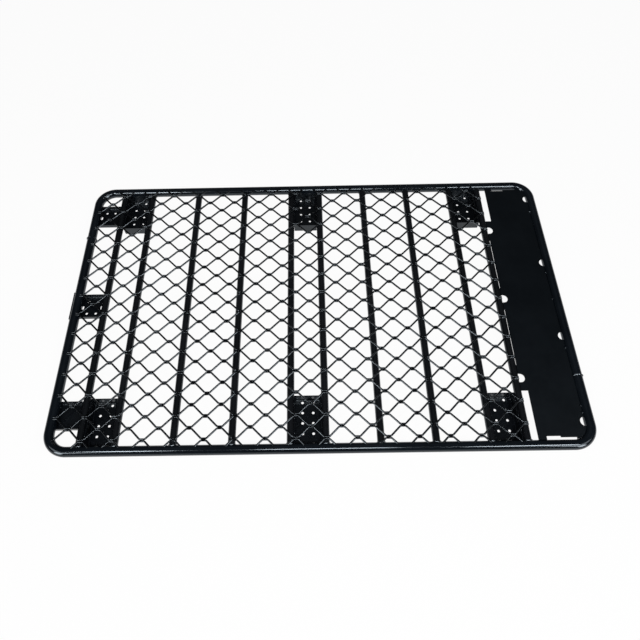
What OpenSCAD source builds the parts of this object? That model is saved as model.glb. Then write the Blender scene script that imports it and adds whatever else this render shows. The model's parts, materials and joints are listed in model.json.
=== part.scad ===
// Flat steel roof rack for a truck cab: a bent tube perimeter, ten crossbars,
// a welded zig-zag wire floor, a sheet panel at the front and trays for the feet.
// Frame: +X to the front, +Y to the left, +Z up.
// The origin is at the middle of the rack, on the plane of the trays' undersides.

/* [Perimeter tube] */
// Overall length of the perimeter, outside the tubes
rack_l = 1790; // [1700:5:1900]
// Overall width of the perimeter, outside the tubes
rack_w = 1120; // [1060:5:1220]
// Outside diameter of the perimeter tube
tube_d = 33.7; // [30:0.1:38]
// Wall of the perimeter tube
tube_wall = 2; // [1.5:0.1:3]
// Centreline radius of the corner bends
bend_r = 64; // [56:1:90]

/* [Crossbars] */
// Outside diameter of the crossbars
bar_d = 25; // [20:0.1:28]
// Wall of the crossbars
bar_wall = 1.6; // [1.2:0.1:2.5]
// How far the crossbars' axes lie below the perimeter tube's axis
bar_drop = 3; // [0:0.5:4]
// Spacing of two paired crossbars, axis to axis
pair_gap = 114; // [105:1:125]
// Rear tube's axis to the first crossbar's axis
rear_bay = 103; // [95:1:110]
// Front tube's axis to the last crossbar's axis
front_bay = 209.5; // [190:0.5:230]
// Middle pair's distance behind the rack's middle
mid_pair_back = 34.5; // [0:0.5:60]

/* [Foot trays] */
// Height of the foot trays, from their undersides to the crossbars' axes
tray_h = 38; // [32:1:50]
// Thickness of the trays' sheet
tray_t = 3; // [2:0.5:4]
// Outer radius of the trays' folds
tray_fold_r = 6; // [5:0.5:7]
// Length of a foot tray along Y
tray_l = 169; // [162:1:200]
// How far the outer end of a foot tray reaches under the rail
tray_lap = 4; // [3:0.5:8]
// Diameter of the trays' bolt holes
bolt_hole_d = 9; // [6:0.5:11]
// Spacing of the trays' bolt holes, along X and along Y
bolt_pitch = 36; // [32:1:36]
// Rail's axis to the outermost row of bolt holes
bolt_row_inset = 25; // [23:0.5:28]
// Rows of bolt holes in a foot tray
bolt_rows = 5; // [1:1:5]

/* [Accessory plates] */
// Length of an accessory plate along Y
plate_l = 96; // [84:1:110]
// Height of an accessory plate's folded ends, from its underside
plate_lip = 18; // [8:0.5:20]
// How far the accessory plates' undersides lie below the crossbars' axes
plate_drop = 10; // [8:0.5:11]
// Thickness of the accessory plates' sheet
plate_t = 3; // [2:0.5:3.5]
// Outer radius of the accessory plates' folds
plate_fold_r = 5; // [4:0.5:6]
// Distance of the outer accessory plates from the rack's middle
plate_y = 421; // [390:1:425]
// Distance of the holes' middle behind the middle of a plate
plate_hole_back = 1.5; // [0:0.5:2]
// Spacing of the four round holes along X
plate_hole_x = 33; // [28:1:34]
// Spacing of the four round holes along Y
plate_hole_y = 50; // [40:1:54]
// Spacing of the two slots along X
plate_slot_x = 67.5; // [62:0.5:68]
// Width of a slot
plate_slot_w = 7; // [5:0.5:7]
// Length of a slot
plate_slot_l = 15; // [12:0.5:18]

/* [Front panel] */
// Thickness of the front panel's sheet
panel_t = 2; // [1.5:0.5:3]
// How far the front panel's top face lies above the perimeter tube's axis
panel_rise = 5.5; // [3:0.5:6]
// Width of the two strap slots beside the last crossbar
strap_slot_w = 21.5; // [18:0.5:30]
// Length of a strap slot, inwards from the rail
strap_slot_l = 168; // [120:1:200]
// Radius of the half-round notches
notch_r = 15.5; // [12:0.5:20]
// Depth of the notches beside the last crossbar
notch_depth = 20; // [16:0.5:28]
// Spacing of the notches beside the last crossbar
notch_pitch = 313; // [260:1:320]
// Depth of the notches beside the front tube
front_notch_depth = 14.5; // [8:0.5:18]
// Spacing of the notches beside the front tube
front_notch_pitch = 312; // [250:1:315]
// Length of the deep step in the gap along a rail
gap_deep_l = 45; // [35:1:50]
// Length of the shallow step after it
gap_shallow_l = 51; // [40:1:54]
// Depth of the deep step
gap_deep = 11.5; // [8:0.5:16]
// Depth of the shallow step
gap_shallow = 7; // [4:0.5:7.5]
// Last crossbar's axis to the start of the gap along a rail
gap_start = 59.5; // [45:0.5:64]

/* [Wire floor] */
// Width and height of a floor wire
wire_d = 6; // [4:0.1:7]
// Half of the mesh pitch along X
mesh_half_x = 49.5; // [44:0.5:56]
// Half of the mesh pitch along Y
mesh_half_y = 39.4; // [36:0.1:44]
// Half of the flat where two wires touch
mesh_flat = 8.5; // [6:0.5:10]
// Distance from the rack's middle back to a column of joined wires
mesh_shift = 24; // [0:0.5:49]
// Overhang of the floor past the last crossbar's axis
mesh_over = 7.5; // [3:0.5:10]

/* [Weld beads] */
// Height of the bead where two perimeter tubes are joined
bead_r = 4; // [2:0.5:5]
// Distance of the beads from the rack's long middle line
bead_y = 308; // [250:1:330]

/* [Rear sleeve] */
// Thickness of the sheet wrapped round the rear tube
sleeve_t = 3; // [2:0.5:3.5]
// Length of the sleeve along Y
sleeve_l = 111; // [90:1:130]

/* [Hidden] */
$fn = 48;
tube_r = tube_d / 2;
bar_r = bar_d / 2;
bar_z = tray_h;
rail_z = bar_z + bar_drop;
rail_y = rack_w / 2 - tube_r;
end_x = rack_l / 2 - tube_r;
// Straight stretches between the bends
rail_straight = end_x - bend_r;
end_straight = rail_y - bend_r;
// Crossbar positions: three pairs, with two single bars spread evenly between pairs
rear_bar = -end_x + rear_bay;
front_bar = end_x - front_bay;
mid_rear = -mid_pair_back - pair_gap / 2;
mid_front = -mid_pair_back + pair_gap / 2;
rear_span = mid_rear - (rear_bar + pair_gap);
front_span = (front_bar - pair_gap) - mid_front;
BARS = [
    rear_bar,
    rear_bar + pair_gap,
    rear_bar + pair_gap + rear_span / 3,
    rear_bar + pair_gap + rear_span * 2 / 3,
    mid_rear,
    mid_front,
    mid_front + front_span / 3,
    mid_front + front_span * 2 / 3,
    front_bar - pair_gap,
    front_bar
];
tray_w = pair_gap - bar_d;
tray_cx = [rear_bar + pair_gap / 2, -mid_pair_back, front_bar - pair_gap / 2];
tray_end = rail_y - tube_r + tray_lap;
hole_row_1 = rail_y - bolt_row_inset;
// Accessory plates hang between the rear tube and the first crossbar
plate_cx = (-end_x + tube_r + rear_bar - bar_r) / 2 - plate_hole_back;
plate_z = bar_z - plate_drop;
// Front panel, its lower edges touching the tubes and the last crossbar
panel_z = rail_z + panel_rise - panel_t;
panel_inset = sqrt(tube_r * tube_r - (panel_z - rail_z) * (panel_z - rail_z));
panel_x0 = front_bar + sqrt(bar_r * bar_r - (panel_z - bar_z) * (panel_z - bar_z));
panel_x1 = end_x - panel_inset;
panel_split = panel_x0 + strap_slot_w;
panel_y = rail_y - panel_inset;
panel_corner = bend_r - panel_inset;
// Wire floor, lying on the crossbars and ending on the shoulders of the tubes
mesh_z = bar_z + bar_r;
mesh_reach = sqrt(tube_r * tube_r - (mesh_z - rail_z) * (mesh_z - rail_z));
mesh_y = rail_y - mesh_reach;
mesh_x0 = -end_x + mesh_reach;
mesh_x1 = front_bar + mesh_over;
mesh_corner = bend_r - mesh_reach;
// The floor's panels meet on columns of joined wires, over crossbars
function seam(x) = round((x + mesh_shift) / mesh_half_x) * mesh_half_x - mesh_shift;
MESH_EDGES = [mesh_x0, seam(BARS[2]), seam(BARS[5]), seam(BARS[7]), mesh_x1];
link_angle = atan((mesh_half_y - wire_d) / (mesh_half_x - 2 * mesh_flat));
link_ease = wire_d / 2 * tan(link_angle / 2);
coat = "#17181a";
eps = 1;

// A solid rod along Y from y0 to y1, with its axis at x, z
module rod_y(x, z, d, y0, y1) {
    translate([x, y1, z]) rotate([90, 0, 0]) cylinder(d = d, h = y1 - y0);
}

// A solid rod along X from x0 to x1, with its axis at y, z
module rod_x(y, z, d, x0, x1) {
    translate([x0, y, z]) rotate([0, 90, 0]) cylinder(d = d, h = x1 - x0);
}

// A perimeter tube along X on the left (side 1) or right (side -1)
module rail(side) {
    color(coat) difference() {
        rod_x(side * rail_y, rail_z, tube_d, -rail_straight, rail_straight);
        rod_x(side * rail_y, rail_z, tube_d - 2 * tube_wall, -rail_straight - eps, rail_straight + eps);
    }
}

// A perimeter tube along Y at the front (end 1) or rear (end -1)
module end_tube(end, y0, y1) {
    color(coat) difference() {
        rod_y(end * end_x, rail_z, tube_d, y0, y1);
        rod_y(end * end_x, rail_z, tube_d - 2 * tube_wall, y0 - eps, y1 + eps);
    }
}

// A quarter bend of the perimeter tube at one corner
module corner_bend(end, side) {
    turn = end > 0 ? (side > 0 ? 0 : 270) : (side > 0 ? 90 : 180);
    color(coat)
    translate([end * rail_straight, side * end_straight, rail_z])
    rotate([0, 0, turn])
    rotate_extrude(angle = 90)
    translate([bend_r, 0]) difference() {
        circle(d = tube_d);
        circle(d = tube_d - 2 * tube_wall);
    }
}

// The ring of weld where the two bent perimeter tubes meet; at the front it stops clear of the panel
module weld_bead(end) {
    gap = panel_t / 2;
    color(coat)
    difference() {
        translate([end * end_x, -end * bead_y, rail_z]) rotate([90, 0, 0])
        rotate_extrude() difference() {
            translate([tube_r, 0]) circle(r = bead_r);
            translate([0, -bead_r - eps]) square([tube_r, 2 * (bead_r + eps)]);
        }
        translate([end_x - tube_d, -bead_y - tube_r, panel_z - gap])
            cube([tube_d, tube_d, panel_t + 2 * gap]);
    }
}

// Sheet wrapped round the outer side of the rear tube, in front of the middle accessory plate
module sleeve() {
    color(coat)
    translate([-end_x, sleeve_l / 2, rail_z]) rotate([90, 0, 0])
    linear_extrude(height = sleeve_l) difference() {
        circle(r = tube_r + sleeve_t);
        circle(r = tube_r);
        translate([0, -tube_d]) square([tube_d, 2 * tube_d]);
        translate([-tube_d, tube_r / 2]) square([2 * tube_d, tube_d]);
    }
}

// A hollow crossbar, its ends coped to the rails
module crossbar(i) {
    color(coat) difference() {
        rod_y(BARS[i], bar_z, bar_d, -rail_y, rail_y);
        rod_y(BARS[i], bar_z, bar_d - 2 * bar_wall, -rail_y - eps, rail_y + eps);
        for (side = [-1, 1])
            rod_x(side * rail_y, rail_z, tube_d, BARS[i] - bar_d, BARS[i] + bar_d);
    }
}

// A rectangle from x0 to x1 and from 0 up to h, its two lower corners rounded
module folded_profile(x0, x1, h, r) {
    translate([x0, r]) square([x1 - x0, h - r]);
    translate([x0 + r, 0]) square([x1 - x0 - 2 * r, 2 * r]);
    for (x = [x0 + r, x1 - r]) translate([x, r]) circle(r = r);
}

// A block with its lower edges rounded, as a folded tray has
module folded_block(x0, x1, y0, y1, h, r) {
    intersection() {
        translate([0, y1, 0]) rotate([90, 0, 0])
            linear_extrude(height = y1 - y0) folded_profile(x0, x1, h, r);
        translate([x0, 0, 0]) rotate([90, 0, 90])
            linear_extrude(height = x1 - x0) folded_profile(y0, y1, h, r);
    }
}

// A folded sheet tray between two paired crossbars, for a foot bolted under it
module foot_tray(x, side) {
    color(coat)
    translate([x, 0, 0]) mirror([0, side > 0 ? 0 : 1, 0]) difference() {
        folded_block(-tray_w / 2, tray_w / 2, tray_end - tray_l, tray_end, tray_h, tray_fold_r);
        translate([0, 0, tray_t]) folded_block(
            -tray_w / 2 + tray_t, tray_w / 2 - tray_t,
            tray_end - tray_l + tray_t, tray_end - tray_t, tray_h, tray_fold_r - tray_t);
        rod_x(rail_y, rail_z, tube_d, -tray_w, tray_w);
        for (i = [-1, 1], k = [0 : bolt_rows - 1])
            translate([i * bolt_pitch / 2, hole_row_1 - k * bolt_pitch, -eps])
                cylinder(d = bolt_hole_d, h = tray_t + 2 * eps);
    }
}

// A slot along Y, cut down through an accessory plate
module plate_slot(x) {
    run = plate_slot_l - plate_slot_w;
    for (s = [-1, 1])
        translate([x, s * run / 2, -eps]) cylinder(d = plate_slot_w, h = plate_t + 2 * eps);
    translate([x - plate_slot_w / 2, -run / 2, -eps]) cube([plate_slot_w, run, plate_t + 2 * eps]);
}

// A small folded plate between the rear tube and the first crossbar.
// rows are the sides, along Y, that have round holes, and slots the sides, along X, that have a slot
module accessory_plate(y, rows, slots) {
    color(coat) difference() {
        translate([-end_x, y, plate_z]) rotate([90, 0, 90])
        linear_extrude(height = rear_bay) difference() {
            folded_profile(-plate_l / 2, plate_l / 2, plate_lip, plate_fold_r);
            translate([0, plate_t])
                folded_profile(-plate_l / 2 + plate_t, plate_l / 2 - plate_t, plate_lip, plate_fold_r - plate_t);
        }
        rod_y(-end_x, rail_z, tube_d, y - plate_l, y + plate_l);
        rod_y(rear_bar, bar_z, bar_d, y - plate_l, y + plate_l);
        translate([plate_cx, y, plate_z]) {
            for (i = [-1, 1], j = rows)
                translate([i * plate_hole_x / 2, j * plate_hole_y / 2, -eps])
                    cylinder(d = bolt_hole_d, h = plate_t + 2 * eps);
            for (i = slots) plate_slot(i * plate_slot_x / 2);
        }
    }
}

// The front panel's outline in front of the strap slots, its front corners rounded to the bends
module panel_outline() {
    translate([panel_split, -panel_y])
        square([panel_x1 - panel_corner - panel_split, 2 * panel_y]);
    translate([panel_x1 - 2 * panel_corner, -panel_y + panel_corner])
        square([2 * panel_corner, 2 * (panel_y - panel_corner)]);
    for (s = [-1, 1])
        translate([panel_x1 - panel_corner, s * (panel_y - panel_corner)])
            circle(r = panel_corner);
}

// A round-ended notch that reaches a given depth past x, towards the front (dir 1) or rear
module notch(x, y, depth, dir) {
    translate([x + dir * (depth - notch_r), y]) circle(r = notch_r);
    if (depth > notch_r)
        translate([dir > 0 ? x - eps : x - depth + notch_r, y - notch_r])
            square([depth - notch_r + eps, 2 * notch_r]);
}

// The sheet between the strap slots and the front tube
module front_panel() {
    color(coat)
    translate([0, 0, panel_z])
    linear_extrude(height = panel_t) difference() {
        panel_outline();
        for (s = [-1, 1]) {
            translate([front_bar + gap_start, s > 0 ? panel_y - gap_deep : -panel_y - eps])
                square([gap_deep_l, gap_deep + eps]);
            translate([front_bar + gap_start, s > 0 ? panel_y - gap_shallow : -panel_y - eps])
                square([gap_deep_l + gap_shallow_l, gap_shallow + eps]);
        }
        for (k = [-1.5 : 1.5]) notch(panel_x1, k * front_notch_pitch, front_notch_depth, -1);
    }
}

// The sheet's rear edge, which reaches the last crossbar between the two strap slots
module panel_rear_edge() {
    edge_y = panel_y - strap_slot_l;
    color(coat)
    translate([0, 0, panel_z])
    linear_extrude(height = panel_t) difference() {
        translate([panel_x0, -edge_y]) square([panel_split - panel_x0, 2 * edge_y]);
        for (k = [-1 : 1]) notch(panel_x0, k * notch_pitch, notch_depth, 1);
    }
}

// The six corners of one opening between the wires, centred on x, y
function opening_at(x, y) = [
    for (c = [
        [-mesh_half_x + mesh_flat + link_ease, 0],
        [-mesh_flat + link_ease, mesh_half_y - wire_d],
        [mesh_flat - link_ease, mesh_half_y - wire_d],
        [mesh_half_x - mesh_flat - link_ease, 0],
        [mesh_flat - link_ease, -mesh_half_y + wire_d],
        [-mesh_flat + link_ease, -mesh_half_y + wire_d]
    ]) [x + c[0], y + c[1]]
];

// The area the floor may cover between x0 and x1, rounded at the rear corners
module floor_area(x0, x1) {
    at_rear = x0 < mesh_x0 + eps;
    inset = at_rear ? mesh_corner : 0;
    translate([x0 + inset, -mesh_y]) square([x1 - x0 - inset, 2 * mesh_y]);
    if (at_rear) {
        translate([x0, -mesh_y + inset]) square([2 * inset, 2 * (mesh_y - inset)]);
        for (s = [-1, 1]) translate([x0 + inset, s * (mesh_y - inset)]) circle(r = inset);
    }
}

// One panel of the floor: zig-zag wires along X, joined at their flats
module floor_mesh(k) {
    x0 = MESH_EDGES[k];
    x1 = MESH_EDGES[k + 1];
    i0 = floor((x0 + mesh_shift) / mesh_half_x);
    i1 = ceil((x1 + mesh_shift) / mesh_half_x);
    rows = ceil(mesh_y / mesh_half_y);
    openings = [
        for (i = [i0 : i1], j = [-rows : rows])
            if ((i + j) % 2 != 0) opening_at(i * mesh_half_x - mesh_shift, j * mesh_half_y)
    ];
    color(coat)
    translate([0, 0, mesh_z])
    linear_extrude(height = wire_d) difference() {
        floor_area(x0, x1);
        for (o = openings) polygon(o);
    }
}

rail(1);  // left_rail
rail(-1);  // right_rail
end_tube(-1, bead_y, end_straight);  // rear_tube_left
end_tube(-1, -end_straight, bead_y);  // rear_tube_right
end_tube(1, -bead_y, end_straight);  // front_tube_left
end_tube(1, -end_straight, -bead_y);  // front_tube_right
corner_bend(-1, 1);  // rear_left_bend
corner_bend(-1, -1);  // rear_right_bend
corner_bend(1, 1);  // front_left_bend
corner_bend(1, -1);  // front_right_bend
weld_bead(-1);  // rear_weld_bead
weld_bead(1);  // front_weld_bead
sleeve();  // rear_tube_sleeve
crossbar(0);  // crossbar_1
crossbar(1);  // crossbar_2
crossbar(2);  // crossbar_3
crossbar(3);  // crossbar_4
crossbar(4);  // crossbar_5
crossbar(5);  // crossbar_6
crossbar(6);  // crossbar_7
crossbar(7);  // crossbar_8
crossbar(8);  // crossbar_9
crossbar(9);  // crossbar_10
foot_tray(tray_cx[0], 1);  // rear_left_tray
foot_tray(tray_cx[0], -1);  // rear_right_tray
foot_tray(tray_cx[1], 1);  // mid_left_tray
foot_tray(tray_cx[1], -1);  // mid_right_tray
foot_tray(tray_cx[2], 1);  // front_left_tray
foot_tray(tray_cx[2], -1);  // front_right_tray
accessory_plate(plate_y, [1], [-1]);  // left_accessory_plate
accessory_plate(0, [-1, 1], [-1, 1]);  // mid_accessory_plate
accessory_plate(-plate_y, [], []);  // right_accessory_plate
front_panel();
panel_rear_edge();
floor_mesh(0);  // floor_mesh_1
floor_mesh(1);  // floor_mesh_2
floor_mesh(2);  // floor_mesh_3
floor_mesh(3);  // floor_mesh_4
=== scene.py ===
# %% [markdown]
# A flat steel roof rack for a truck cab, dressed for a studio picture.
# The tubes, crossbars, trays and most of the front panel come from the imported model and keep
# their shapes. What is added here is what a welder and a paint line leave behind: round floor
# wires, weld beads, stitches and tacks, all under one coat of black powder paint.

# %% Load the rack
import json
from math import atan2, ceil, cos, degrees, floor, pi, radians, sin, sqrt, tan

import bpy
from mathutils import Matrix, Vector


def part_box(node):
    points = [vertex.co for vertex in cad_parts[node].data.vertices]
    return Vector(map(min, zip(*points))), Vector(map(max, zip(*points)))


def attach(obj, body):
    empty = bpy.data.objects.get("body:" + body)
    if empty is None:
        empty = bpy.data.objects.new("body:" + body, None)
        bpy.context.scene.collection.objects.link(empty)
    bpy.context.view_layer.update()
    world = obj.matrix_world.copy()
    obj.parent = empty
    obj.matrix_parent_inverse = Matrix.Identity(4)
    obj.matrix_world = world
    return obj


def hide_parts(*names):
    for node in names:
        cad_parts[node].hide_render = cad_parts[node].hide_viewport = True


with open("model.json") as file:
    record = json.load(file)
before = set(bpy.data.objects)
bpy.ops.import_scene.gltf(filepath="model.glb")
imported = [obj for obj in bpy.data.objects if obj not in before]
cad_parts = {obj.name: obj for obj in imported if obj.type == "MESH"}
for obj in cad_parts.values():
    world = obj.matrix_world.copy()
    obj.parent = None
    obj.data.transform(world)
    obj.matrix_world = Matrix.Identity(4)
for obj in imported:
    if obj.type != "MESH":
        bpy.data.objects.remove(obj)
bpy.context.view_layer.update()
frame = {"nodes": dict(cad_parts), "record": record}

nodes = frame["nodes"]
print("nodes in the frame:", len(nodes))

# %% [markdown]
# Every added piece has to sit on the steel that carries it, so no place is typed in twice.
# The axes and radii of the tubes and bars are measured from the boxes of their nodes. The
# wires alone are drawn a little thicker than packed, because a black line this thin over white
# paper looks thinner in a render than in the photo.

# %% Measure the tubes and bars
MM = 0.001
WIRE_EXTRA = 0.3 * MM


def box_of(name):
    """Lowest and highest corner, and the middle, of one node."""
    low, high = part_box(name)
    return low, high, (low + high) / 2


rail_low, rail_high, rail_mid = box_of("left_rail")
RAIL_Y, RAIL_Z = rail_mid.y, rail_mid.z
TUBE_R = (rail_high.z - rail_low.z) / 2
END_X = box_of("front_tube_left")[2].x
BARS = [box_of(f"crossbar_{n}")[2].x for n in range(1, 11)]
bar_low, bar_high, bar_mid = box_of("crossbar_1")
BAR_R, BAR_Z = (bar_high.x - bar_low.x) / 2, bar_mid.z
floor_low, floor_high, _ = box_of("floor_mesh_1")
FLOOR_Z, WIRE_R = (floor_low.z + floor_high.z) / 2, (floor_high.z - floor_low.z) / 2 + WIRE_EXTRA
FLOOR_FRONT = box_of("floor_mesh_4")[1].x
panel_low, panel_high, _ = box_of("front_panel")
print(f"tube {TUBE_R * 2000:.1f} mm, bar {BAR_R * 2000:.1f} mm, wire {WIRE_R * 2000:.1f} mm")

# %% [markdown]
# Most steps below start a new shape in edit mode. The operators work on whatever is selected,
# so a few small helpers clear the selection, pick vertices by their place and tidy up at the end.

# %% Selection and finishing helpers
def select_only(*objects):
    """Leaves just these objects selected, the first of them active."""
    bpy.ops.object.select_all(action="DESELECT")
    for one in objects:
        one.select_set(True)
    bpy.context.view_layer.objects.active = objects[0]


def pick(obj, test, mode="VERT"):
    """In edit mode, selects the vertices, edges or faces whose middle passes the test."""
    bpy.ops.mesh.select_mode(type=mode)
    bpy.ops.mesh.select_all(action="DESELECT")
    bpy.ops.object.mode_set(mode="OBJECT")
    points = obj.data.vertices
    if mode == "VERT":
        for v in points:
            v.select = test(v.co)
    else:
        for item in obj.data.edges if mode == "EDGE" else obj.data.polygons:
            ends = [points[i].co for i in item.vertices]
            item.select = test(sum(ends, Vector()) / len(ends))
    bpy.ops.object.mode_set(mode="EDIT")


def apply_modifier(obj, kind, **settings):
    """Adds one modifier, sets it and applies it at once."""
    select_only(obj)
    made = obj.modifiers.new(kind.title(), kind)
    for key, value in settings.items():
        setattr(made, key, value)
    bpy.ops.object.modifier_apply(modifier=made.name)


def copy_mesh(obj, move=(0, 0, 0), turn=None):
    """A copy with a mesh of its own, moved and turned in the mesh."""
    twin = obj.copy()
    twin.data = obj.data.copy()
    bpy.context.collection.objects.link(twin)
    if turn is not None:
        twin.data.transform(turn)
    twin.data.transform(Matrix.Translation(move))
    return twin


def join(parts, name):
    """Joins objects into the first one and names it."""
    select_only(*parts)
    if len(parts) > 1:
        bpy.ops.object.join()
    parts[0].name = parts[0].data.name = name
    return parts[0]


def dress(piece, material, smooth=40):
    """Places a finished piece on the rack: smooth shading, material, slot and body."""
    select_only(piece)
    bpy.ops.object.transform_apply(location=True, rotation=True, scale=True)
    bpy.ops.object.mode_set(mode="EDIT")
    bpy.ops.mesh.select_all(action="SELECT")
    bpy.ops.mesh.normals_make_consistent(inside=False)
    bpy.ops.object.mode_set(mode="OBJECT")
    bpy.ops.object.shade_smooth_by_angle(angle=radians(smooth))
    piece.data.materials.clear()
    piece.data.materials.append(material)
    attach(piece, "root")
    print(f"{piece.name}: {len(piece.data.polygons)} faces")
    return piece


# %% [markdown]
# Powder coat is plastic baked onto steel. It is nearly black, shines softly, and close up it
# has the skin of an orange: low bumps about a millimetre apart. Three noise patterns make it:
# a fine one for the bumps, a wide one that shifts the tone a little, and one for the gloss.

# %% The powder coat
def noise(tree, where, scale, detail, place):
    """A noise pattern on object coordinates, so many cells to the metre."""
    node = tree.nodes.new("ShaderNodeTexNoise")
    node.inputs["Scale"].default_value = scale
    node.inputs["Detail"].default_value = detail
    node.location = place
    tree.links.new(where, node.inputs["Vector"])
    return node.outputs["Fac"]


def powder_coat(name, dark, light, gloss, peel=0.03):
    """Black baked paint between two tones, with a span of roughness and orange peel."""
    material = bpy.data.materials.new(name)
    material.use_nodes = True
    tree = material.node_tree
    shader = tree.nodes["Principled BSDF"]
    shader.inputs["IOR"].default_value = 1.5
    shader.inputs["Specular Tint"].default_value = (0.80, 0.91, 1.0, 1)
    where = tree.nodes.new("ShaderNodeTexCoord").outputs["Object"]

    tone = tree.nodes.new("ShaderNodeValToRGB")
    tone.color_ramp.elements[0].position = 0.35
    tone.color_ramp.elements[0].color = (*dark, 1)
    tone.color_ramp.elements[1].position = 0.68
    tone.color_ramp.elements[1].color = (*light, 1)
    tree.links.new(noise(tree, where, 9, 4, (-700, 200)), tone.inputs["Fac"])
    tree.links.new(tone.outputs["Color"], shader.inputs["Base Color"])

    rough = tree.nodes.new("ShaderNodeMapRange")
    rough.inputs["To Min"].default_value, rough.inputs["To Max"].default_value = gloss
    tree.links.new(noise(tree, where, 45, 3, (-700, -100)), rough.inputs["Value"])
    tree.links.new(rough.outputs["Result"], shader.inputs["Roughness"])

    bump = tree.nodes.new("ShaderNodeBump")
    bump.inputs["Strength"].default_value = peel
    bump.inputs["Distance"].default_value = 0.3 * MM
    tree.links.new(noise(tree, where, 850, 2, (-700, -400)), bump.inputs["Height"])
    tree.links.new(bump.outputs["Normal"], shader.inputs["Normal"])
    return material


# The tones differ by part: the tray and panel coats are about half as light, painted shade on flat sheet.
TUBE_COAT = powder_coat("tube_powder_coat", (0.0018, 0.0030, 0.0048), (0.0046, 0.0066, 0.0096), (0.10, 0.15))
BAR_COAT = powder_coat("bar_powder_coat", (0.0022, 0.0026, 0.0034), (0.0056, 0.0060, 0.0074), (0.15, 0.22))
TRAY_COAT = powder_coat("tray_powder_coat", (0.0010, 0.0015, 0.0026), (0.0026, 0.0034, 0.0050), (0.22, 0.32))
PANEL_COAT = powder_coat("panel_powder_coat", (0.0010, 0.0018, 0.0030), (0.0024, 0.0036, 0.0052), (0.26, 0.34))
WIRE_COAT = powder_coat("wire_powder_coat", (0.0018, 0.0020, 0.0026), (0.0042, 0.0048, 0.0058), (0.10, 0.16))

# %% [markdown]
# The steel that keeps its imported shape only needs its coat. Each kind of part has a coat of
# its own: the same black paint with its own roughness, made bluer on the tubes and about half as
# light on the trays and panel, which is painted shade.

# %% Coat the imported parts
COATS = {"perimeter_coat": TUBE_COAT, "crossbar_coat": BAR_COAT, "tray_coat": TRAY_COAT,
         "panel_coat": PANEL_COAT, "mesh_coat": WIRE_COAT}
for row in frame["record"]["subparts"]:
    steel = nodes[row["node"]]
    steel.data.materials.clear()
    steel.data.materials.append(COATS[row["material_slot"]])
print("coated", len(nodes), "packed parts")

# %% [markdown]
# The floor is a sheet of zig-zag wires. Each wire runs the length of the rack and swings
# between its two neighbours, and where two wires touch they run side by side and are welded.
# One swing is modelled step by step: a circle is pulled straight along a flat, spun round a bend,
# pulled along the slope and spun back. Copies of that swing then make a wire, and the wire a
# floor. Without a window the spin operator turns the other way, so its angle has a minus.

# %% Wire spacing
HALF_X = 49.5 * MM
HALF_Y = 39.4 * MM
FLAT = 8.5 * MM
COLUMN_SHIFT = 24 * MM
BEND_R = 7 * MM
RISE = HALF_Y - 2 * WIRE_R
SIDES = 12
print(f"a wire swings {RISE * 1000:.1f} mm in {HALF_X * 1000:.1f} mm")

# %% One swing of a wire
LINK_ANGLE = atan2(RISE, HALF_X - 2 * FLAT)
ease = BEND_R * tan(LINK_ANGLE / 2)
flat_l = FLAT - ease
link_l = RISE / sin(LINK_ANGLE) - 2 * ease
heading = Vector((1, 0, 0))
tip = Vector((0, 0, FLOOR_Z))

bpy.ops.object.select_all(action="DESELECT")
bpy.ops.mesh.primitive_circle_add(vertices=SIDES, radius=WIRE_R, location=tip, rotation=(0, pi / 2, 0))
swing = bpy.context.object
bpy.ops.object.transform_apply(location=True, rotation=True, scale=True)
bpy.ops.object.mode_set(mode="EDIT")
bpy.ops.mesh.select_all(action="SELECT")


def pull(length):
    """Pulls the open end of the wire straight on."""
    global tip
    bpy.ops.mesh.extrude_region_move(TRANSFORM_OT_translate={"value": heading * length})
    tip = tip + heading * length


def bend(angle, steps=4):
    """Spins the open end of the wire round a bend, to the left for a positive angle."""
    global tip, heading
    side = Vector((-heading.y, heading.x, 0)) * (1 if angle > 0 else -1)
    centre = tip + side * BEND_R
    bpy.ops.mesh.spin(steps=steps, angle=-angle, center=centre, axis=(0, 0, 1))
    turn = Matrix.Rotation(angle, 3, "Z")
    tip = centre + turn @ (tip - centre)
    heading = turn @ heading


pull(flat_l)
bend(LINK_ANGLE)
pull(link_l)
bend(-LINK_ANGLE)
pull(2 * flat_l)
bend(-LINK_ANGLE)
pull(link_l)
bend(LINK_ANGLE)
pull(flat_l)
bpy.ops.object.mode_set(mode="OBJECT")
swing.name = "wire_swing"
print(f"one swing ends at x {tip.x * 1000:.2f} mm, y {tip.y * 1000:.2f} mm, wanted {2 * HALF_X * 1000:.2f}, 0")

# %% [markdown]
# Neighbouring wires are the same wire moved half a swing along and one row across. So a pair
# of wires, repeated, fills the whole floor. The sheet is then trimmed with flat cuts: one
# slanted cut along each tube, where the wires die into its shoulder, and a few round each
# rear corner.

# %% Lay the wires
first_column = floor((floor_low.x + COLUMN_SHIFT) / (2 * HALF_X)) - 1
swings = ceil((FLOOR_FRONT - floor_low.x) / (2 * HALF_X)) + 3
rows = 2 * ceil(RAIL_Y / (2 * HALF_Y))
start = Vector((first_column * 2 * HALF_X - COLUMN_SHIFT, -rows * HALF_Y + WIRE_R, 0))
swing.data.transform(Matrix.Translation(start))
apply_modifier(swing, "ARRAY", count=swings, use_relative_offset=False, use_constant_offset=True,
               constant_offset_displace=(2 * HALF_X, 0, 0), use_merge_vertices=True,
               merge_threshold=0.05 * MM)
odd_wires = copy_mesh(swing, move=(HALF_X, HALF_Y, 0))
sheet = join([swing, odd_wires], "floor_wires")
apply_modifier(sheet, "ARRAY", count=rows, use_relative_offset=False, use_constant_offset=True,
               constant_offset_displace=(0, 2 * HALF_Y, 0))
print(f"{2 * rows} wires of {swings} swings")


# %% Trim the wires to the tubes
def cut(obj, point, normal, fill=True):
    """Cuts away what lies beyond a plane, on the side that the normal points to."""
    select_only(obj)
    bpy.ops.object.mode_set(mode="EDIT")
    bpy.ops.mesh.select_all(action="SELECT")
    bpy.ops.mesh.bisect(plane_co=point, plane_no=normal, use_fill=fill, clear_outer=True)
    bpy.ops.object.mode_set(mode="OBJECT")


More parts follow.
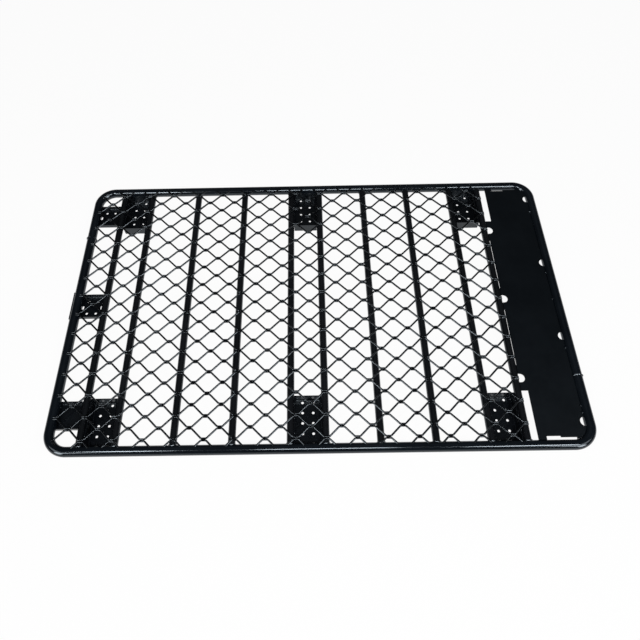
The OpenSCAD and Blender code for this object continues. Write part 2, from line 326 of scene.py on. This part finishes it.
def shoulder(height):
    """How far inside a tube's axis its skin is, at a height above the axis."""
    return sqrt(TUBE_R ** 2 - height ** 2)


wire_bottom = FLOOR_Z - WIRE_R - RAIL_Z
wire_top = FLOOR_Z + WIRE_R - RAIL_Z
SINK = 0.8 * MM
reach_low, reach_high = shoulder(wire_bottom) - SINK, shoulder(wire_top) - SINK
lean = atan2(reach_low - reach_high, 2 * WIRE_R)
bend_low, bend_high, _ = box_of("rear_left_bend")
CORNER_R = bend_high.x - bend_low.x - TUBE_R
trims = [((0, RAIL_Y, 0), 90), ((0, -RAIL_Y, 0), -90), ((-END_X, 0, 0), 180)]
for side in (1, -1):
    for step in range(1, 6):
        turn = radians(90 + 15 * step) * side
        centre = Vector((CORNER_R - END_X, side * (RAIL_Y - CORNER_R), 0))
        trims.append((centre + Vector((cos(turn), sin(turn), 0)) * CORNER_R, degrees(turn)))
for point, turn in trims:
    out = Vector((cos(radians(turn)), sin(radians(turn)), 0))
    on_skin = Vector(point) - out * reach_low
    on_skin.z = FLOOR_Z - WIRE_R
    cut(sheet, on_skin, out * cos(lean) - Vector((0, 0, sin(lean))))
cut(sheet, (FLOOR_FRONT, 0, 0), (1, 0, 0))
print("trimmed sheet:", len(sheet.data.polygons), "faces")

# %% [markdown]
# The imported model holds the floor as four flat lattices. Each gets its own share of the wires,
# cut over the same crossbar, where two wires lie side by side.

# %% Split the floor over the crossbars
for n in range(1, 5):
    low, high, _ = box_of(f"floor_mesh_{n}")
    share = copy_mesh(sheet)
    if n > 1:
        cut(share, (low.x, 0, 0), (-1, 0, 0))
    if n < 4:
        cut(share, (high.x, 0, 0), (1, 0, 0))
    share.name = share.data.name = f"floor_wires_{n}"
    dress(share, WIRE_COAT, smooth=50)
    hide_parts(f"floor_mesh_{n}")
bpy.data.objects.remove(sheet)

# %% [markdown]
# Weld beads hold the rack together, and one helper makes them all. A bead starts as a path of
# edges. The path becomes a curve, which is given a round thickness that swells and thins, as
# the welder's hand moves on in steps, and then it is turned back into a mesh.

# %% Weld helpers
def path_through(points):
    """A chain of edges through some points, drawn by extruding one vertex."""
    bpy.ops.object.select_all(action="DESELECT")
    bpy.ops.mesh.primitive_plane_add(size=1 * MM, location=points[0])
    chain = bpy.context.object
    bpy.ops.object.transform_apply(location=True, rotation=True, scale=True)
    bpy.ops.object.mode_set(mode="EDIT")
    bpy.ops.mesh.select_all(action="SELECT")
    bpy.ops.mesh.merge(type="CENTER")
    for here, there in zip(points, points[1:]):
        bpy.ops.mesh.extrude_region_move(TRANSFORM_OT_translate={"value": Vector(there) - Vector(here)})
    bpy.ops.object.mode_set(mode="OBJECT")
    return chain


def ring_path(place, radius, points):
    """A ring of edges round an axis along Y."""
    bpy.ops.object.select_all(action="DESELECT")
    bpy.ops.mesh.primitive_circle_add(vertices=points, radius=radius, location=place, rotation=(pi / 2, 0, 0))
    ring = bpy.context.object
    bpy.ops.object.transform_apply(location=True, rotation=True, scale=True)
    return ring


def weld(path, width, swell=0.14, taper=0.5):
    """Turns a path into a bead of weld, thinner at its two ends if it has any."""
    select_only(path)
    bpy.ops.object.convert(target="CURVE")
    path.data.bevel_depth = width / 2
    path.data.bevel_resolution = 2
    path.data.use_fill_caps = True
    for run in path.data.splines:
        for n, point in enumerate(run.points):
            point.radius = 1 + (swell if n % 2 else -swell)
        if not run.use_cyclic_u:
            run.points[0].radius = run.points[-1].radius = taper
    bpy.ops.object.convert(target="MESH")
    bpy.ops.object.mode_set(mode="EDIT")
    bpy.ops.mesh.select_all(action="SELECT")
    bpy.ops.mesh.remove_doubles(threshold=0.01 * MM)
    bpy.ops.object.mode_set(mode="OBJECT")
    return path


# %% [markdown]
# Each crossbar is cut to the curve of the rail and welded all round. To lay a bead in that
# curve, a flat ring of the bar's size is thrown sideways onto the rail with a Shrinkwrap. All
# the bars are alike, so one bead is made, copied along the rail and mirrored to the other side.

# %% Welds at the ends of the crossbars
BAR_WELD = 5 * MM
BAR_WELD_STANDOFF = 0.4 * MM
saddle = ring_path((BARS[0], RAIL_Y - 40 * MM, BAR_Z), BAR_R + BAR_WELD_STANDOFF, 36)
apply_modifier(saddle, "SHRINKWRAP", target=nodes["left_rail"], wrap_method="PROJECT",
               use_project_y=True, use_positive_direction=True, use_negative_direction=False)
print(f"the saddle is {saddle.dimensions.y * 1000:.1f} mm deep")
first_weld = weld(saddle, BAR_WELD)
mirror = Matrix.Scale(-1, 4, (0, 1, 0))
bar_welds = [first_weld, copy_mesh(first_weld, turn=mirror)]
for x in BARS[1:]:
    bar_welds.append(copy_mesh(first_weld, move=(x - BARS[0], 0, 0)))
    bar_welds.append(copy_mesh(first_weld, move=(x - BARS[0], 0, 0), turn=mirror))
dress(join(bar_welds, "bar_end_welds"), TUBE_COAT)

# %% [markdown]
# Two long tubes are bent to a U and joined end to end. The joints lie in the rear and the
# front tube, diagonally opposite each other, and each is one raised ring of weld. At the front
# the sheet panel lies against the tube, so the ring stops short of it.

# %% Welds where the perimeter tubes are joined
RING_WELD = 5.6 * MM
SHEET_CLEAR = 2.5 * MM
for end, name in ((-1, "rear"), (1, "front")):
    low, high, middle = box_of(f"{name}_weld_bead")
    ring = ring_path((end * END_X, middle.y, RAIL_Z), TUBE_R, 56)
    if end > 0:
        bpy.ops.object.mode_set(mode="EDIT")
        pick(ring, lambda v: v.x < END_X and panel_low.z - SHEET_CLEAR < v.z < panel_high.z + SHEET_CLEAR)
        bpy.ops.mesh.delete(type="VERT")
        bpy.ops.object.mode_set(mode="OBJECT")
    bead = weld(ring, RING_WELD, swell=0.1)
    bead.name = bead.data.name = f"{name}_weld_ring"
    dress(bead, TUBE_COAT)
    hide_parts(f"{name}_weld_bead")

# %% [markdown]
# The trays are held to the crossbars by short stitches along their upper edges, and the small
# plates by a tack at each corner. The front panel has a few shinier tacks along the front tube.
# Stitches and not a long bead keep thin sheet from warping.

# %% Stitches along the trays and plates
STITCH_WIDTH = 4.2 * MM
TRAY_STITCH = Vector((0, 20 * MM, 0))
PLATE_TACK = Vector((0, 12 * MM, 0))
PANEL_TACK = Vector((0, 9 * MM, 0))
PANEL_TACK_WIDTH = 5.6 * MM
PANEL_TACKS_AT = [y * MM for y in (404, 112, -2, -201, -414, -437)]
PLATE_SHEET = 3 * MM


def stitch(middle, length, width=STITCH_WIDTH):
    """A short bead of weld along X or Y."""
    steps = max(4, round(length.length / (2.4 * MM)))
    points = [Vector(middle) + length * (k / steps - 0.5) for k in range(steps + 1)]
    return weld(path_through(points), width)


stitches = []
for end in ("rear", "mid", "front"):
    for side in ("left", "right"):
        low, high, middle = box_of(f"{end}_{side}_tray")
        for x in (low.x, high.x):
            for share in (0.12, 0.42, 0.72):
                y = low.y + (high.y - low.y) * (share if side == "left" else 1 - share)
                stitches.append(stitch((x, y, high.z + 0.5 * MM), TRAY_STITCH))
for name in ("left", "mid", "right"):
    low, high, middle = box_of(f"{name}_accessory_plate")
    sheet_top = low.z + PLATE_SHEET
    at_tube = shoulder(RAIL_Z - sheet_top) - END_X
    at_bar = BARS[0] - sqrt(BAR_R ** 2 - (BAR_Z - sheet_top) ** 2)
    for x in (at_tube, at_bar):
        for y in (low.y + 12 * MM, high.y - 12 * MM):
            stitches.append(stitch((x, y, sheet_top), PLATE_TACK))
dress(join(stitches, "sheet_stitches"), TRAY_COAT)

at_front_tube = END_X - shoulder(panel_high.z - RAIL_Z) - 1 * MM
tacks = [stitch((at_front_tube, y, panel_high.z + 1 * MM), PANEL_TACK, PANEL_TACK_WIDTH)
         for y in PANEL_TACKS_AT]
dress(join(tacks, "panel_tacks"), TUBE_COAT)

# %% [markdown]
# Between its half-round notches the front panel isn't welded to the last crossbar, and a thin
# slit of daylight shows there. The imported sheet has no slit, so a copy of its rear edge gets
# two: a long thin box is taken away from it on each side with a Boolean.

# %% Slits beside the last crossbar
SLIT_MIDDLE = 155 * MM
SLIT_BOX = (2 * MM, 218 * MM, 10 * MM)
edge_low, edge_high, edge_mid = box_of("panel_rear_edge")
rear_sheet = copy_mesh(nodes["panel_rear_edge"])
select_only(rear_sheet)
bpy.ops.object.mode_set(mode="EDIT")
bpy.ops.mesh.select_all(action="SELECT")
bpy.ops.mesh.remove_doubles(threshold=0.001 * MM)
bpy.ops.object.mode_set(mode="OBJECT")
for side in (1, -1):
    bpy.ops.object.select_all(action="DESELECT")
    bpy.ops.mesh.primitive_cube_add(size=1, location=(edge_low.x, side * SLIT_MIDDLE, edge_mid.z),
                                    scale=SLIT_BOX)
    slit = bpy.context.object
    bpy.ops.object.transform_apply(location=True, rotation=True, scale=True)
    apply_modifier(rear_sheet, "BOOLEAN", operation="DIFFERENCE", object=slit, solver="EXACT")
    bpy.data.objects.remove(slit)
rear_sheet.name = rear_sheet.data.name = "panel_rear_sheet"
dress(rear_sheet, PANEL_COAT, smooth=20)
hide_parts("panel_rear_edge")

# %% [markdown]
# The picture was taken from above and in front of the right rail. The camera below has the
# same place, tilt and angle of view, worked out from the rails, the bars and the wire pattern.

# %% Camera
PICTURE = 640
FOCAL_PX = 560.28
CENTRE_PX = (305.58, 320.50)
camera = bpy.data.objects.new("camera", bpy.data.cameras.new("camera"))
bpy.context.collection.objects.link(camera)
pitch, yaw, roll = radians(60.820), radians(-0.982), radians(1.789)
ahead = Vector((sin(yaw) * cos(pitch), cos(yaw) * cos(pitch), -sin(pitch)))
level = Vector((cos(yaw), -sin(yaw), 0))
down = ahead.cross(level)
right = level * cos(roll) + down * sin(roll)
down = down * cos(roll) - level * sin(roll)
camera.matrix_world = Matrix((
    (right.x, -down.x, -ahead.x, -0.0216),
    (right.y, -down.y, -ahead.y, -1.0584),
    (right.z, -down.z, -ahead.z, 1.762 + RAIL_Z),
    (0, 0, 0, 1)))
camera.data.sensor_width = 36
camera.data.lens = FOCAL_PX / PICTURE * camera.data.sensor_width
camera.data.shift_x = 0.5 - CENTRE_PX[0] / PICTURE
camera.data.shift_y = CENTRE_PX[1] / PICTURE - 0.5
camera.data.clip_end = 50
bpy.context.scene.camera = camera
print(f"lens {camera.data.lens:.2f} mm, shift {camera.data.shift_x:.4f}, {camera.data.shift_y:.4f}")

# %% [markdown]
# The studio is a white floor under soft lamps. Three softboxes in a row beside the camera draw
# the broken bright line along the tubes, two low lamps light one side of the zig-zag wires, and
# a faint broad one overhead gives the bars their soft sheen. The floor shines for the camera
# and in reflections, so that it stays white between the wires and the paint mirrors it, but it
# throws no more light on the rack than plain paper does.

# %% Floor
FLOOR_SHARE = 0.95


def studio_white(name):
    """White paper that shines where the camera, a reflection or clear glass looks at it."""
    material = bpy.data.materials.new(name)
    material.use_nodes = True
    tree = material.node_tree
    tree.nodes.clear()
    paper = tree.nodes.new("ShaderNodeBsdfDiffuse")
    paper.inputs["Color"].default_value = (0.8, 0.8, 0.8, 1)
    shine = tree.nodes.new("ShaderNodeEmission")
    rays = tree.nodes.new("ShaderNodeLightPath")

    def number(operation, first, second):
        node = tree.nodes.new("ShaderNodeMath")
        node.operation = operation
        tree.links.new(first, node.inputs[0])
        if isinstance(second, float):
            node.inputs[1].default_value = second
        else:
            tree.links.new(second, node.inputs[1])
        return node.outputs[0]

    clear = number("MAXIMUM", rays.outputs["Is Camera Ray"], rays.outputs["Is Transmission Ray"])
    seen = number("MAXIMUM", rays.outputs["Is Glossy Ray"], clear)
    blend = tree.nodes.new("ShaderNodeMixShader")
    out = tree.nodes.new("ShaderNodeOutputMaterial")
    tree.links.new(number("MULTIPLY", seen, FLOOR_SHARE), blend.inputs[0])
    tree.links.new(paper.outputs[0], blend.inputs[1])
    tree.links.new(shine.outputs[0], blend.inputs[2])
    tree.links.new(blend.outputs[0], out.inputs[0])
    return material


bpy.ops.object.select_all(action="DESELECT")
bpy.ops.mesh.primitive_plane_add(size=30, location=(0, 0, -0.5 * MM))
studio_floor = bpy.context.object
studio_floor.name = "studio_floor"
studio_floor.data.materials.append(studio_white("floor_paper"))

# %% [markdown]
# The world is white where the camera looks past the floor. For all else it is nearly black: flat
# black paint mirrors the sky, and under a white one the panel and the trays turn grey.

# %% Lamps and world
SKY_DIM = 0.05


def soft_lamp(name, place, target, width, depth, watts):
    """An area lamp at a place, turned to a point."""
    data = bpy.data.lights.new(name, "AREA")
    data.shape = "RECTANGLE"
    data.size, data.size_y, data.energy = width, depth, watts
    lamp = bpy.data.objects.new(name, data)
    bpy.context.collection.objects.link(lamp)
    lamp.location = place
    lamp.rotation_euler = (Vector(target) - Vector(place)).to_track_quat("-Z", "Y").to_euler()
    return lamp


soft_lamp("left_softbox", (-1.60, -1.7, 2.8), (0, 0, 0), 0.66, 0.5, 32)
soft_lamp("mid_softbox", (0.10, -1.7, 2.8), (0, 0, 0), 1.10, 0.5, 40)
soft_lamp("right_softbox", (1.84, -1.7, 2.8), (0, 0, 0), 1.25, 0.5, 46)
soft_lamp("left_lamp", (-3.5, -1.5, 3.0), (0, 0, 0), 1.5, 1.5, 20)
soft_lamp("right_lamp", (3.5, -1.5, 3.0), (0, 0, 0), 1.5, 1.5, 20)
soft_lamp("overhead_lamp", (0, 1.8, 3.2), (0, 1.8, 0), 3.0, 3.0, 1.5)
for side in (-1, 1):
    low_lamp = soft_lamp("low_lamp", (side * 3.1, -3.1, 1.9), (0, -0.3, 0), 1.5, 2.2, 110)
    low_lamp.visible_diffuse = False

world = bpy.data.worlds.new("studio")
bpy.context.scene.world = world
world.use_nodes = True
sky = world.node_tree.nodes["Background"]
sky.inputs["Color"].default_value = (1, 1, 1, 1)
sky_rays = world.node_tree.nodes.new("ShaderNodeLightPath")
sky_level = world.node_tree.nodes.new("ShaderNodeMath")
sky_level.operation = "MAXIMUM"
sky_level.inputs[1].default_value = SKY_DIM
sky_seen = world.node_tree.nodes.new("ShaderNodeMath")
sky_seen.operation = "MAXIMUM"
world.node_tree.links.new(sky_rays.outputs["Is Camera Ray"], sky_seen.inputs[0])
world.node_tree.links.new(sky_rays.outputs["Is Transmission Ray"], sky_seen.inputs[1])
world.node_tree.links.new(sky_seen.outputs[0], sky_level.inputs[0])
world.node_tree.links.new(sky_level.outputs[0], sky.inputs["Strength"])
bpy.context.scene.view_settings.view_transform = "Standard"
